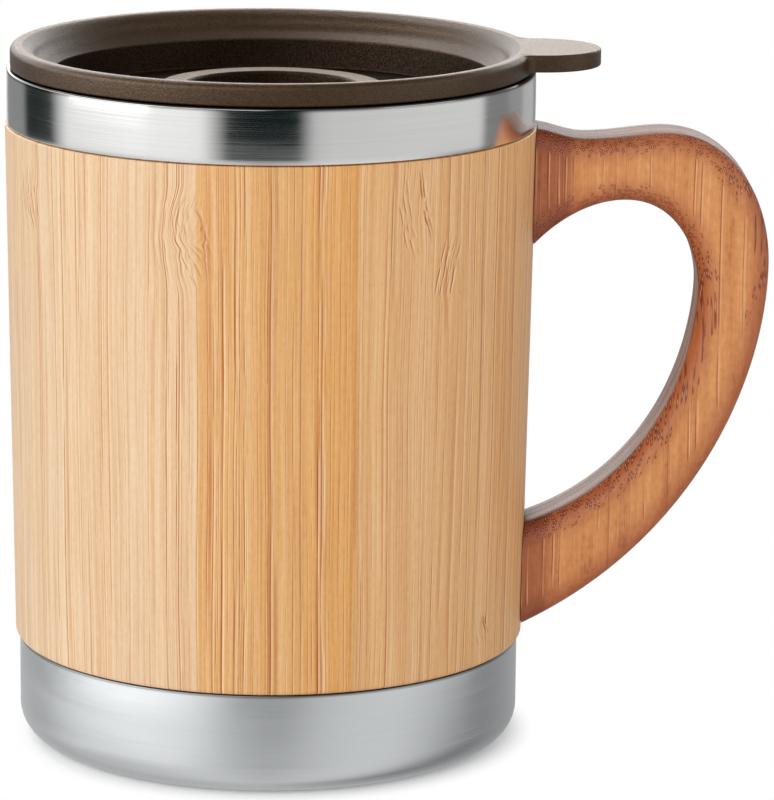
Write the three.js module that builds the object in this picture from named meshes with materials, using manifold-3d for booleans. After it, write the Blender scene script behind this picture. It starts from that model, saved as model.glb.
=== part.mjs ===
// A double-walled steel mug in a bamboo sleeve, with a sawn bamboo handle and a press-in plastic lid.
// Millimetres, +Z up. The origin is on the table, on the mug's own axis, and the handle points along +X.
import * as THREE from "three";
import { mergeVertices } from "three/addons/utils/BufferGeometryUtils.js";
import Module from "manifold-3d";

const wasm = await Module();
wasm.setup();

// Fits
const SEAT_GAP = 0.3; // air between two pieces that sit on each other

// Bamboo sleeve: a turned tube, a little wider at the top
const SLEEVE_TOP_RADIUS = 42;
const SLEEVE_TAPER = 1.25; // how much the radius shrinks down to the bottom edge
const SLEEVE_HEIGHT = 82.6;
const SLEEVE_WALL = 4.7; // at the top
const SLEEVE_TOP_ROUND = 0.3;
const SLEEVE_BOTTOM_ROUND = 0.9;

// Steel: sheet thickness, the base under the sleeve, the collar above it and the gap between the walls
const SHEET = 0.6;
const BASE_STEP = 0.65; // the sleeve stands proud of the base by this much
const BASE_HEIGHT = 16.25;
const BASE_CORNER = 4.85;
const NECK_HEIGHT = 9; // the base's neck inside the lower end of the outer shell
const SHOULDER_BEND = 0.5; // inside radius where the sheet turns in under and over the sleeve
const COLLAR_STEP = 0.25; // the sleeve stands proud of the collar by this much
const COLLAR_HEIGHT = 8.45;
const RIM_TURN = 0.2; // inside radius of the rolled rim
const HEM_DEPTH = 2.2; // how far the rolled rim comes back down
const WALL_GAP = 1.5; // air between the two steel walls
const FLOOR_GAP = 5; // air under the liner's floor
const LINER_CORNER = 7; // inside radius at the liner's floor
const STEP_SLOPE = 42; // degrees, of the step between the liner's wall and its wider mouth
const STEP_GAP = 0.6; // air between that step and the shoulder of the outer shell
const STEP_BEND = 1.3; // inside radius above and below the step

// Lid: a flange over the rim, a funnel, a well with a raised ring, and a plug with a groove for the seal
const LID_INSET = 0.6; // the flange stays inside the collar's edge by this much
const FLANGE_HEIGHT = 3.3;
const FLANGE_LOWER_ROUND = 0.5;
const LIP_ROUND = 0.75;
const LIP_WIDTH = 1.55;
const FUNNEL_WIDTH = 1.4;
const FUNNEL_DEPTH = 2.7;
const FUNNEL_ROUND = 4;
const LEDGE_WIDTH = 3.7;
const LEDGE_FALL = 1.1;
const WELL_EDGE_ROUND = 0.3;
const WELL_CORNER = 1.2;
const WELL_FLOOR = 1.6; // thickness
const WELL_WALL = 2.3; // thickness
const PLUG_ROUND = 0.8;
const PLUG_GAP = 0.3; // air between the plug and the liner's step, measured upwards
const RING_RADIUS = 18;
const RING_WIDTH = 4.4;
const RING_HEIGHT = 1.8;
const RING_ROUND = 0.5;
const SPIGOT_DEPTH = 1.2; // the band under the flange that centres the lid in the mouth
const GROOVE_MARGIN = 0.3; // the groove ends this far above the lower end of the straight mouth
const GROOVE_DEPTH = 1.2;

// Thumb tab on the lid
const TAB_RADIUS = 9.2; // round end
const TAB_STRAIGHT = 1.1; // side between the fillet at the flange and the round end
const TAB_FILLET = 2;
const TAB_DROP = 0.15; // its top lies this far below the lip
const TAB_THICKNESS = 2.7;
const TAB_ROOT = 1.2; // how far it is rooted in the flange

// Silicone seal
const SEAL_BODY = 1.6; // thickness of the band in the groove
const SEAL_SPACING = 0.6; // between the roots of its two lips
const SEAL_SLOPE = 8; // degrees, on both sides of a lip

// Handle: a board sawn to the outline below, its edges rounded over and its ends hollowed to fit the sleeve
const BOARD_THICKNESS = 13;
const ROUND_OVER_DEPTH = 2.2;
const ROUND_OVER_WIDTH = 3;
const HANDLE_REACH = 36.97; // from the sleeve's top radius to the outermost point
const GRIP_WIDTH = 11.1; // across the handle at its outermost point
// Where the outline's curves meet: out from the sleeve's top radius, and down from its top or up from its
// bottom. A hold is how far the edge keeps its direction there, before and after the point.
const HEAD_TOP = { down: 0.2, slope: -7.5, hold: 3 };
const DIP = { out: 7.7, down: 1.72, hold: [3, 4.5] };
const CREST = { out: 20, down: 0.68, hold: [4, 11.7] };
const GRIP_OUTER = { down: 21.65, hold: [9.7, 19.7] };
const FOOT_LOW = { up: 2.55, slope: 27.5, hold: 28.7 };
const FOOT_TOP = { up: 18.85, slope: 21.2, hold: 25.4 };
const GRIP_INNER = { down: 25.35, hold: [5, 4.4] };
const ARCH = { out: 14.1, down: 11.43, hold: [9, 5.1] };
const HEAD_LOW = { down: 18.3, slope: 45.8, hold: 5.6 };

// Handle screws
const SCREW_LENGTH = 14;
const SCREW_RADIUS = 1.6;
const SCREW_HEAD_RADIUS = 3.1;
const SCREW_HEAD_HEIGHT = 1.5;
const SCREW_POINT = 3;
const SCREW_UPPER_DOWN = 7.65; // below the sleeve's top
const SCREW_LOWER_UP = 12.5; // above the sleeve's bottom

// Fineness
const TURN_STEPS = 48;
const SCREW_STEPS = 16;
const ARC_TOLERANCE = 0.1; // how far a chord may lie inside its arc
const CURVE_STEPS = 12;
const ROUND_OVER_STEPS = 3;
const WELD = 1e-4;

// Levels and radii that follow from the sizes above
const sleeveBottom = BASE_HEIGHT + SEAT_GAP;
const sleeveTop = sleeveBottom + SLEEVE_HEIGHT;
const sleeveBottomRadius = SLEEVE_TOP_RADIUS - SLEEVE_TAPER;
const sleeveBore = SLEEVE_TOP_RADIUS - SLEEVE_WALL;
const shoulderLow = sleeveTop + SEAT_GAP;
const rimTop = shoulderLow + COLLAR_HEIGHT;
const shellMid = sleeveBore - SEAT_GAP - SHEET / 2;
const collarMid = SLEEVE_TOP_RADIUS - COLLAR_STEP - SHEET / 2;
const rimBend = RIM_TURN + SHEET / 2;
const hemMid = collarMid - 2 * rimBend;
const mouthMid = hemMid - SHEET - SEAT_GAP;
const mouthRadius = mouthMid - SHEET / 2;
const linerMid = shellMid - SHEET - WALL_GAP;
const shoulderBend = SHOULDER_BEND + SHEET / 2;
const stepBend = STEP_BEND + SHEET / 2;

// The liner's step is a cone that passes the bend in the shell's shoulder with STEP_GAP to spare.
const { degToRad } = THREE.MathUtils;
const stepSlope = Math.tan(degToRad(STEP_SLOPE));
const stepClear = new THREE.Vector2(0, shoulderBend + SHEET + STEP_GAP);
const bendCentre = new THREE.Vector2(shellMid + shoulderBend, shoulderLow + SHEET / 2 - shoulderBend);
const stepThrough = stepClear.rotateAround(new THREE.Vector2(), degToRad(STEP_SLOPE)).add(bendCentre);
const stepHeight = (radius) => stepThrough.y + (radius - stepThrough.x) * stepSlope;
const mouthEnd = stepHeight(mouthMid) + stepBend * Math.tan(degToRad(STEP_SLOPE / 2));

const STEEL = { color: 0xc9cac8, roughness: 0.28, metalness: 1 };
const BRIGHT_STEEL = { color: 0xd4d5d4, roughness: 0.15, metalness: 1 };
const LIGHT_BAMBOO = { color: 0xdcaa6e, roughness: 0.6, metalness: 0 };
const DARK_BAMBOO = { color: 0xb97743, roughness: 0.6, metalness: 0 };
const BROWN_PLASTIC = { color: 0x4d4137, roughness: 0.55, metalness: 0 };
const CLEAR_SILICONE = { color: 0xd9d5cc, roughness: 0.5, metalness: 0 };

// Drawing helpers

// Corners [r, z, rounding radius] become points, each rounded corner an arc of as few chords as will do.
function roundCorners(corners) {
  const points = [];
  corners.forEach(([r, z, radius = 0], i) => {
    const corner = new THREE.Vector2(r, z);
    if (!radius) {
      points.push(corner);
      return;
    }
    const before = new THREE.Vector2(...corners[i - 1]).sub(corner).normalize();
    const after = new THREE.Vector2(...corners[i + 1]).sub(corner).normalize();
    const half = Math.acos(before.dot(after)) / 2;
    const middle = before.clone().add(after).normalize();
    const centre = corner.clone().addScaledVector(middle, radius / Math.sin(half));
    const start = corner.clone().addScaledVector(before, radius / Math.tan(half)).sub(centre);
    const sweep = Math.sign(after.cross(before)) * (Math.PI - 2 * half);
    const chord = 2 * Math.acos(Math.max(0, 1 - ARC_TOLERANCE / radius));
    const steps = Math.ceil(Math.abs(sweep) / chord);
    for (let k = 0; k <= steps; k++) {
      points.push(start.clone().rotateAround(new THREE.Vector2(), (sweep * k) / steps).add(centre));
    }
  });
  return points.filter((p, i) => i === 0 || p.distanceTo(points[i - 1]) > WELD);
}

// Sheet metal: the middle line of the sheet, thickened to both sides. The outer side is on the right hand.
function sheet(corners) {
  const line = roundCorners(corners);
  const side = (sign) =>
    line.map((point, i) => {
      const ahead = (line[i + 1] ?? point).clone().sub(line[i + 1] ? point : line[i - 1]).normalize();
      const behind = i ? point.clone().sub(line[i - 1]).normalize() : ahead;
      const along = ahead.clone().add(behind).normalize();
      const normal = new THREE.Vector2(along.y, -along.x);
      return point.clone().addScaledVector(normal, (sign * SHEET) / 2 / along.dot(ahead));
    });
  return [...side(1), ...side(-1).reverse()];
}

// Turns a profile about +Z. A profile that doesn't end on the axis is closed first.
function turn(profile, steps = TURN_STEPS) {
  const ends = [profile[0], profile.at(-1)];
  const closed = ends.every((p) => p.x < WELD) ? profile : [...profile, profile[0]];
  return new THREE.LatheGeometry(closed, steps).rotateX(Math.PI / 2);
}

// Boolean joins and cuts
function solid(geometry) {
  const bare = geometry.clone();
  bare.deleteAttribute("normal");
  bare.deleteAttribute("uv");
  const merged = mergeVertices(bare, WELD);
  return new wasm.Manifold(
    new wasm.Mesh({
      numProp: 3,
      vertProperties: merged.attributes.position.array,
      triVerts: new Uint32Array(merged.index.array),
    }),
  );
}

function surface(made) {
  const { vertProperties, triVerts } = made.getMesh();
  const geometry = new THREE.BufferGeometry();
  geometry.setAttribute("position", new THREE.BufferAttribute(vertProperties, 3));
  geometry.setIndex(new THREE.BufferAttribute(triVerts, 1));
  const faceted = geometry.toNonIndexed();
  faceted.computeVertexNormals();
  return faceted;
}

function piece(name, geometry, finish) {
  const mesh = new THREE.Mesh(geometry, new THREE.MeshStandardMaterial(finish));
  mesh.name = name;
  return mesh;
}

// Steel body

function makeBaseCup() {
  const floor = SHEET / 2;
  const wall = sleeveBottomRadius - BASE_STEP - SHEET / 2;
  const shoulder = BASE_HEIGHT - SHEET / 2;
  const neck = shellMid - SHEET - SEAT_GAP;
  return turn(
    sheet([
      [0, floor],
      [wall, floor, BASE_CORNER - SHEET / 2],
      [wall, shoulder, shoulderBend],
      [neck, shoulder, shoulderBend],
      [neck, BASE_HEIGHT + NECK_HEIGHT],
    ]),
  );
}

function makeOuterShell() {
  const shoulder = shoulderLow + SHEET / 2;
  const top = rimTop - SHEET / 2;
  return turn(
    sheet([
      [shellMid, sleeveBottom],
      [shellMid, shoulder, shoulderBend],
      [collarMid, shoulder, shoulderBend],
      [collarMid, top, rimBend],
      [hemMid, top, rimBend],
      [hemMid, rimTop - HEM_DEPTH],
    ]),
  );
}

function makeInnerLiner() {
  const floor = SHEET + FLOOR_GAP + SHEET / 2;
  return turn(
    sheet([
      [0, floor],
      [linerMid, floor, LINER_CORNER + SHEET / 2],
      [linerMid, stepHeight(linerMid), stepBend],
      [mouthMid, stepHeight(mouthMid), stepBend],
      [mouthMid, rimTop - SEAT_GAP],
    ]),
  );
}

// Bamboo

// A countersunk screw along +Z, its head's face at z = 0, made larger all round by grow and longer by back.
function makeScrewProfile(grow, back) {
  const head = SCREW_HEAD_RADIUS + grow;
  const shank = SCREW_RADIUS + grow;
  return roundCorners([
    [0, -back],
    [head, -back],
    [head, grow],
    [shank, SCREW_HEAD_HEIGHT + grow],
    [shank, SCREW_LENGTH - SCREW_POINT],
    [0, SCREW_LENGTH + grow],
  ]);
}

const screwPlaces = {
  handle_screw_upper: sleeveTop - SCREW_UPPER_DOWN,
  handle_screw_lower: sleeveBottom + SCREW_LOWER_UP,
};
const screwStart = sleeveBore + SEAT_GAP;

// The room a screw takes in the sleeve and in the handle, clear of the screw all round.
function makeScrewRoom(height) {
  const room = turn(makeScrewProfile(SEAT_GAP, SLEEVE_WALL), SCREW_STEPS);
  return solid(room.rotateY(Math.PI / 2).translate(screwStart, 0, height));
}

function drillForScrews(blank) {
  const drilled = Object.values(screwPlaces).reduce((left, z) => left.subtract(makeScrewRoom(z)), blank);
  return surface(drilled);
}

function makeSleeve() {
  const profile = roundCorners([
    [sleeveBore, sleeveBottom],
    [sleeveBottomRadius, sleeveBottom, SLEEVE_BOTTOM_ROUND],
    [SLEEVE_TOP_RADIUS, sleeveTop, SLEEVE_TOP_ROUND],
    [sleeveBore, sleeveTop],
  ]);
  return drillForScrews(solid(turn(profile)));
}

// The handle's outline in its own board: x from the mug's axis, y as height.
// Its two ends run on into the sleeve, where they are cut off to its round.
function drawHandle() {
  const at = (out, height) => new THREE.Vector2(SLEEVE_TOP_RADIUS + out, height);
  const down = (distance) => sleeveTop - distance;
  const up = (distance) => sleeveBottom + distance;
  const along = (point, slope, distance) => {
    const way = new THREE.Vector2(Math.cos(degToRad(slope)), Math.sin(degToRad(slope)));
    return point.clone().addScaledVector(way, distance);
  };
  const shape = new THREE.Shape();
  const line = (point) => shape.lineTo(point.x, point.y);
  const curve = (first, second, end) =>
    shape.bezierCurveTo(first.x, first.y, second.x, second.y, end.x, end.y);
  const waste = -2 * ROUND_OVER_WIDTH;
  const headTop = at(0, down(HEAD_TOP.down));
  const dip = at(DIP.out, down(DIP.down));
  const crest = at(CREST.out, down(CREST.down));
  const outer = at(HANDLE_REACH, down(GRIP_OUTER.down));
  const footLow = at(0, up(FOOT_LOW.up));
  const footTop = at(0, up(FOOT_TOP.up));
  const inner = at(HANDLE_REACH - GRIP_WIDTH, down(GRIP_INNER.down));
  const arch = at(ARCH.out, down(ARCH.down));
  const headLow = at(0, down(HEAD_LOW.down));
  const start = along(headTop, HEAD_TOP.slope, waste);
  shape.moveTo(start.x, start.y);
  line(headTop);
  curve(along(headTop, HEAD_TOP.slope, HEAD_TOP.hold), along(dip, 0, -DIP.hold[0]), dip);
  curve(along(dip, 0, DIP.hold[1]), along(crest, 0, -CREST.hold[0]), crest);
  curve(along(crest, 0, CREST.hold[1]), along(outer, 90, GRIP_OUTER.hold[0]), outer);
  curve(along(outer, 90, -GRIP_OUTER.hold[1]), along(footLow, FOOT_LOW.slope, FOOT_LOW.hold), footLow);
  line(along(footLow, FOOT_LOW.slope, waste));
  line(along(footTop, FOOT_TOP.slope, waste));
  line(footTop);
  curve(along(footTop, FOOT_TOP.slope, FOOT_TOP.hold), along(inner, 90, -GRIP_INNER.hold[0]), inner);
  curve(along(inner, 90, GRIP_INNER.hold[1]), along(arch, 0, ARCH.hold[0]), arch);
  curve(along(arch, 0, -ARCH.hold[1]), along(headLow, HEAD_LOW.slope, HEAD_LOW.hold), headLow);
  line(along(headLow, HEAD_LOW.slope, waste));
  shape.closePath();
  return shape;
}

function makeHandle() {
  const flat = BOARD_THICKNESS - 2 * ROUND_OVER_DEPTH;
  const board = new THREE.ExtrudeGeometry(drawHandle(), {
    depth: flat,
    curveSegments: CURVE_STEPS,
    bevelThickness: ROUND_OVER_DEPTH,
    bevelSize: ROUND_OVER_WIDTH,
    bevelOffset: -ROUND_OVER_WIDTH,
    bevelSegments: ROUND_OVER_STEPS,
  });
  board.rotateX(Math.PI / 2).translate(0, flat / 2, 0);
  // The room of the sleeve and a gap round it, which the two ends are cut back to
  const room = roundCorners([
    [0, 0],
    [sleeveBottomRadius + SEAT_GAP, 0],
    [sleeveBottomRadius + SEAT_GAP, sleeveBottom],
    [SLEEVE_TOP_RADIUS + SEAT_GAP, sleeveTop],
    [SLEEVE_TOP_RADIUS + SEAT_GAP, rimTop],
    [0, rimTop],
  ]);
  return drillForScrews(solid(board).subtract(solid(turn(room))));
}

function makeScrew() {
  return turn(makeScrewProfile(0, 0), SCREW_STEPS);
}

// Lid. Its own frame has z = 0 at the top of the rim.

const flangeLow = SEAT_GAP;
const flangeTop = flangeLow + FLANGE_HEIGHT;
const flangeRadius = collarMid + SHEET / 2 - LID_INSET;
const lipInner = flangeRadius - LIP_WIDTH;
const funnelFoot = [lipInner - FUNNEL_WIDTH, flangeTop - FUNNEL_DEPTH];
const wellRadius = funnelFoot[0] - LEDGE_WIDTH;
const wellEdge = funnelFoot[1] - LEDGE_FALL;
const plugRadius = wellRadius + WELL_WALL;
const plugLow = stepHeight(plugRadius) + SHEET / 2 / Math.cos(degToRad(STEP_SLOPE)) + PLUG_GAP - rimTop;
const wellFloor = plugLow + WELL_FLOOR;
const spigotRadius = mouthRadius - SEAT_GAP;
const grooveRadius = plugRadius - GROOVE_DEPTH;
const grooveTop = flangeLow - SPIGOT_DEPTH;
const grooveLow = mouthEnd - rimTop + GROOVE_MARGIN;

function drawTab() {
  // The fillet's centre touches the flange's edge from outside, and the tab's straight side
  const fillet = new THREE.Vector2(0, TAB_RADIUS + TAB_FILLET);
  fillet.x = Math.sqrt((flangeRadius + TAB_FILLET) ** 2 - fillet.y ** 2);
  const end = fillet.x + TAB_STRAIGHT;
  const swing = Math.atan2(fillet.y, fillet.x);
  const root = flangeRadius - TAB_ROOT;
  const shape = new THREE.Shape();
  shape.absarc(0, 0, root, swing, -swing, true);
  shape.absarc(fillet.x, -fillet.y, TAB_FILLET, Math.PI - swing, Math.PI / 2, true);
  shape.absarc(end, 0, TAB_RADIUS, -Math.PI / 2, Math.PI / 2, false);
  shape.absarc(fillet.x, fillet.y, TAB_FILLET, -Math.PI / 2, swing - Math.PI, true);
  shape.closePath();
  return shape;
}

function makeLidBody() {
  const ringInner = RING_RADIUS - RING_WIDTH;
  const ringTop = wellFloor + RING_HEIGHT;
  const profile = roundCorners([
    [0, plugLow],
    [plugRadius, plugLow, PLUG_ROUND],
    [plugRadius, grooveLow],
    [grooveRadius, grooveLow],
    [grooveRadius, grooveTop],
    [spigotRadius, grooveTop],
    [spigotRadius, flangeLow],
    [flangeRadius, flangeLow, FLANGE_LOWER_ROUND],
    [flangeRadius, flangeTop, LIP_ROUND],
    [lipInner, flangeTop, LIP_ROUND],
    [...funnelFoot, FUNNEL_ROUND],
    [wellRadius, wellEdge, WELL_EDGE_ROUND],
    [wellRadius, wellFloor, WELL_CORNER],
    [RING_RADIUS, wellFloor],
    [RING_RADIUS, ringTop, RING_ROUND],
    [ringInner, ringTop, RING_ROUND],
    [ringInner, wellFloor],
    [0, wellFloor],
  ]);
  const tab = new THREE.ExtrudeGeometry(drawTab(), {
    depth: TAB_THICKNESS,
    curveSegments: CURVE_STEPS,
    bevelEnabled: false,
  });
  tab.translate(0, 0, flangeTop - TAB_DROP - TAB_THICKNESS);
  return surface(solid(turn(profile)).add(solid(tab)));
}

function makeSeal() {
  const inner = grooveRadius + SEAT_GAP;
  const band = inner + SEAL_BODY;
  const tip = mouthRadius - SEAT_GAP;
  const low = grooveLow + SEAT_GAP;
  const top = grooveTop - SEAT_GAP;
  const middle = (low + top) / 2;
  const thin = (tip - band) * Math.tan(degToRad(SEAL_SLOPE));
  return turn(
    roundCorners([
      [inner, low],
      [band, low],
      [tip, low + thin],
      [tip, middle - SEAL_SPACING / 2 - thin],
      [band, middle - SEAL_SPACING / 2],
      [band, middle + SEAL_SPACING / 2],
      [tip, middle + SEAL_SPACING / 2 + thin],
      [tip, top - thin],
      [band, top],
      [inner, top],
    ]),
  );
}

// Assembly
const mug = new THREE.Group();

const body = new THREE.Group();
body.add(piece("inner_liner", makeInnerLiner(), STEEL));
body.add(piece("outer_shell", makeOuterShell(), BRIGHT_STEEL));
body.add(piece("base_cup", makeBaseCup(), STEEL));
body.add(piece("bamboo_sleeve", makeSleeve(), LIGHT_BAMBOO));
mug.add(body);

const grip = new THREE.Group();
grip.add(piece("handle", makeHandle(), DARK_BAMBOO));
for (const [name, height] of Object.entries(screwPlaces)) {
  const screw = piece(name, makeScrew(), STEEL);
  screw.position.set(screwStart, 0, height);
  screw.rotation.y = Math.PI / 2;
  grip.add(screw);
}
mug.add(grip);

const lid = new THREE.Group();
lid.position.z = rimTop;
lid.add(piece("lid_body", makeLidBody(), BROWN_PLASTIC));
lid.add(piece("lid_seal", makeSeal(), CLEAR_SILICONE));
mug.add(lid);

export default mug;
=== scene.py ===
"""Looks of a double-walled mug: a bamboo sleeve and handle, a steel collar, base and liner, a plastic lid.

Metres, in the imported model's own frame: the mug's axis is Z, it stands on z = 0, the handle is along +X.
"""

import math

import bpy
import numpy as np
from mathutils import Matrix, Vector


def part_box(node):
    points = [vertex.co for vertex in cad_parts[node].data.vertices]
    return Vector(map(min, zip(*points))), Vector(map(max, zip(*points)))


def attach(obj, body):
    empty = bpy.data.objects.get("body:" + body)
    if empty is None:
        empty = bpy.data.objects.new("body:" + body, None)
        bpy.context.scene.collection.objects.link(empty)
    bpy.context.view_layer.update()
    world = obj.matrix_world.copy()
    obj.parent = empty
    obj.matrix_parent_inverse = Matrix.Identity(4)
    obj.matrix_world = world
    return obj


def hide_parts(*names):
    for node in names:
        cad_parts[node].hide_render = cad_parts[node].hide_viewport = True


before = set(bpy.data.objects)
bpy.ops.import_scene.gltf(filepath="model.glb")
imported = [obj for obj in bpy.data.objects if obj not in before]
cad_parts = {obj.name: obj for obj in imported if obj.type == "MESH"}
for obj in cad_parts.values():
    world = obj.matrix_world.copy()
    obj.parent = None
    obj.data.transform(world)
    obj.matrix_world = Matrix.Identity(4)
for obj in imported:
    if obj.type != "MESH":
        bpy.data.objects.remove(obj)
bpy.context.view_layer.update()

MM = 0.001

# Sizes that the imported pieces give
sleeve_low, sleeve_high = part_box("bamboo_sleeve")
_, base_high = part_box("base_cup")
shell_low, shell_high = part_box("outer_shell")
liner_low, liner_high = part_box("inner_liner")
_, handle_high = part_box("handle")
lid_low, lid_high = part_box("lid_body")
seal_low, seal_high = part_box("lid_seal")

SLEEVE_BOTTOM = sleeve_low.z
SLEEVE_TOP = sleeve_high.z
SLEEVE_TOP_RADIUS = -sleeve_low.x
RIM_TOP = shell_high.z
LID_TOP = lid_high.z

# Steel
SHEET = 0.6 * MM
SEAT_GAP = 0.3 * MM
SLEEVE_WALL = 4.7 * MM
SLEEVE_TAPER = 1.25 * MM
SLEEVE_TOP_ROUND = 0.2 * MM
SLEEVE_BOTTOM_ROUND = 0.9 * MM
BASE_RADIUS = base_high.x
BASE_CORNER = 4.85 * MM
SHOULDER_BEND = 0.5 * MM
PRESSED_CORNER = 0.22 * MM
HAIRLINE = 0.12 * MM
COLLAR_STEP = 0.25 * MM
COLLAR_RADIUS = SLEEVE_TOP_RADIUS - COLLAR_STEP
RIM_ROLL = 0.32 * MM
HEM_INSET = 1.0 * MM
HEM_DEPTH = 2.2 * MM
COLLAR_ROWS = 9
COLLAR_BARREL = 0.05 * MM
LINER_GAP = 1.5 * MM
LINER_CORNER = 7.3 * MM
LINER_STEP = (99.03 * MM, 103.49 * MM)
LINER_STEP_BEND = 1.6 * MM

# Lid
FLANGE_LOW = RIM_TOP + HAIRLINE
LID_INSET = 0.6 * MM
FLANGE_RADIUS = COLLAR_RADIUS - LID_INSET
FLANGE_LOWER_ROUND = 0.3 * MM
UNDER_STEP = 0.05 * MM
LIP_WIDTH = 3.2 * MM
LIP_EDGE = 1.0 * MM
LIP_ROLL = 2.9 * MM
TAB_ROLL = 2.9 * MM
FUNNEL_WIDTH = 1.2 * MM
FUNNEL_DEPTH = 2.8 * MM
FUNNEL_ROUND = 3.6 * MM
LEDGE_WIDTH = 2.25 * MM
LEDGE_FALL = 1.35 * MM
WELL_EDGE_ROUND = 0.3 * MM
WELL_CORNER = 0.3 * MM
WELL_FLOOR = 0.8 * MM
WELL_WALL = 2.3 * MM
PLUG_ROUND = 0.8 * MM
RING_RADIUS = 18 * MM
RING_WIDTH = 4.4 * MM
RING_HEIGHT = 2.6 * MM
RING_ROUND = 0.5 * MM
RING_FOOT = 0.4 * MM
SPIGOT_DEPTH = 1.2 * MM
GROOVE_DEPTH = 1.2 * MM
TAB_RADIUS = 9.2 * MM
TAB_STRAIGHT = 1.1 * MM
TAB_FILLET = 2 * MM
TAB_DROP = 0.15 * MM
TAB_THICKNESS = 2.7 * MM
TAB_EDGE = 0.3 * MM
TAB_SINK = 1 / 3
CROWN_ROWS = 12
PLUG_RADIUS = FLANGE_RADIUS - LIP_WIDTH - FUNNEL_WIDTH - LEDGE_WIDTH + WELL_WALL
GROOVE_RADIUS = PLUG_RADIUS - GROOVE_DEPTH
SEAL_BAND = 1.6 * MM
SEAL_LIP_ROUND = 0.2 * MM
SEAL_LIP_SLOPE = 0.4

# Handle
BOARD_HALF = handle_high.y
ROUND_OVER_DEPTH = 2.2 * MM
ROUND_OVER_WIDTH = 3 * MM
STRIP_ROWS = 5
FACE_ROWS = 20

# Fineness
TURN_COLUMNS = 288
ARC_STEPS = 10
TAB_END_STEPS = 48
TAB_SIDE_STEPS = 4
TAB_FILLET_STEPS = 16
FLANGE_STEPS = 260
SHARP_ANGLE = math.radians(32)
# A point that is closer than this lies on the axis
ON_AXIS = 1e-9

# The photograph's camera
IMAGE_WIDTH, IMAGE_HEIGHT = 774, 800
CAMERA_PLACE = Vector((0, -746.53 * MM, 223.09 * MM))
CAMERA_PITCH = math.radians(12.75)
CAMERA_YAW = math.radians(1.44)
CAMERA_ROLL = math.radians(0.616)
CAMERA_FOCAL_PIXELS = 4778.8
SENSOR = 36


# Shapes


def unit(vector):
    """The vector, made one long."""
    return vector / np.linalg.norm(vector)


def rounded(corners):
    """Points along a line through corners (r, z) or (r, z, radius).

    A corner with a radius becomes an arc that is tangent to both of its sides.
    """
    points = []
    for i, corner in enumerate(corners):
        place = np.array(corner[:2])
        radius = corner[2] if len(corner) > 2 else 0
        if not radius:
            points.append(place[None])
            continue
        before = unit(np.array(corners[i - 1][:2]) - place)
        after = unit(np.array(corners[i + 1][:2]) - place)
        half = np.arccos(before @ after) / 2
        centre = place + unit(before + after) * radius / np.sin(half)
        start = place + before * radius / np.tan(half) - centre
        side = np.sign(after[0] * before[1] - after[1] * before[0])
        turn = np.linspace(0, side * (np.pi - 2 * half), ARC_STEPS + 1)[:, None]
        points.append(centre + start * np.cos(turn) + np.array([-start[1], start[0]]) * np.sin(turn))
    return np.concatenate(points)


def sheet(corners):
    """The outline of bent sheet metal: its middle line, moved half the sheet's thickness to either side."""
    line = rounded(corners)
    step = np.diff(line, axis=0)
    step /= np.linalg.norm(step, axis=1)[:, None]
    along = np.concatenate([step[:1], step[:-1] + step[1:], step[-1:]])
    along /= np.linalg.norm(along, axis=1)[:, None]
    reach = SHEET / 2 / np.sum(along * np.concatenate([step[:1], step]), axis=1)
    aside = np.stack([along[:, 1], -along[:, 0]], axis=1) * reach[:, None]
    return np.concatenate([line + aside, (line - aside)[::-1]])


def grid_faces(rows, columns, close_rows, close_columns):
    """Four corners for each cell of a grid of rows by columns, wrapped round where it closes."""
    row = np.arange(rows if close_rows else rows - 1)[:, None]
    column = np.arange(columns if close_columns else columns - 1)[None]
    next_row = (row + 1) % rows
    next_column = (column + 1) % columns
    corners = [
        row * columns + column,
        row * columns + next_column,
        next_row * columns + next_column,
        next_row * columns + column,
    ]
    return np.stack([np.broadcast_to(c, (row.size, column.size)) for c in corners], axis=-1).reshape(-1, 4)


def add_piece(name, points, faces, material, body, node, slot):
    """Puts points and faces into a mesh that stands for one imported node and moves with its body."""
    mesh = bpy.data.meshes.new(name)
    mesh.from_pydata(points, [], faces)
    mesh.shade_smooth()
    mesh.set_sharp_from_angle(angle=SHARP_ANGLE)
    mesh.materials.append(material)
    piece = bpy.data.objects.new(name, mesh)
    bpy.context.scene.collection.objects.link(piece)
    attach(piece, body)
    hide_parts(node)
    return piece


def polar_piece(radius, height, angle):
    """Points and faces of a surface whose rows are given in polar form: radius and height for each row and
    column, and an angle for each column. A first or last row on the axis closes in one point."""
    angle = np.broadcast_to(angle, radius.shape)
    height = np.broadcast_to(height, radius.shape)
    grid = np.stack([radius * np.cos(angle), radius * np.sin(angle), height], axis=-1)
    rows, columns = radius.shape
    if radius[0, 0] > ON_AXIS:
        return grid.reshape(-1, 3), grid_faces(rows, columns, True, True).tolist()
    inner = grid[1:-1]
    faces = grid_faces(rows - 2, columns, False, True)
    count = (rows - 2) * columns
    around = np.arange(columns)
    beside = (around + 1) % columns
    last = count - columns
    first_fan = np.stack([np.full(columns, count), beside, around], axis=1)
    last_fan = np.stack([np.full(columns, count + 1), last + around, last + beside], axis=1)
    points = np.concatenate([inner.reshape(-1, 3), grid[0, :1], grid[-1, :1]])
    return points, faces.tolist() + first_fan.tolist() + last_fan.tolist()


def turned(profile):
    """A profile of (r, z) points carried once round the Z axis."""
    angle = np.arange(TURN_COLUMNS) * 2 * np.pi / TURN_COLUMNS
    radius = np.repeat(profile[:, :1], TURN_COLUMNS, axis=1)
    return polar_piece(radius, profile[:, 1:], angle)


# Steel body

SHELL_MIDDLE = SLEEVE_TOP_RADIUS - SLEEVE_WALL - SEAT_GAP - SHEET / 2
LINER_MIDDLE = SHELL_MIDDLE - SHEET - LINER_GAP


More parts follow.
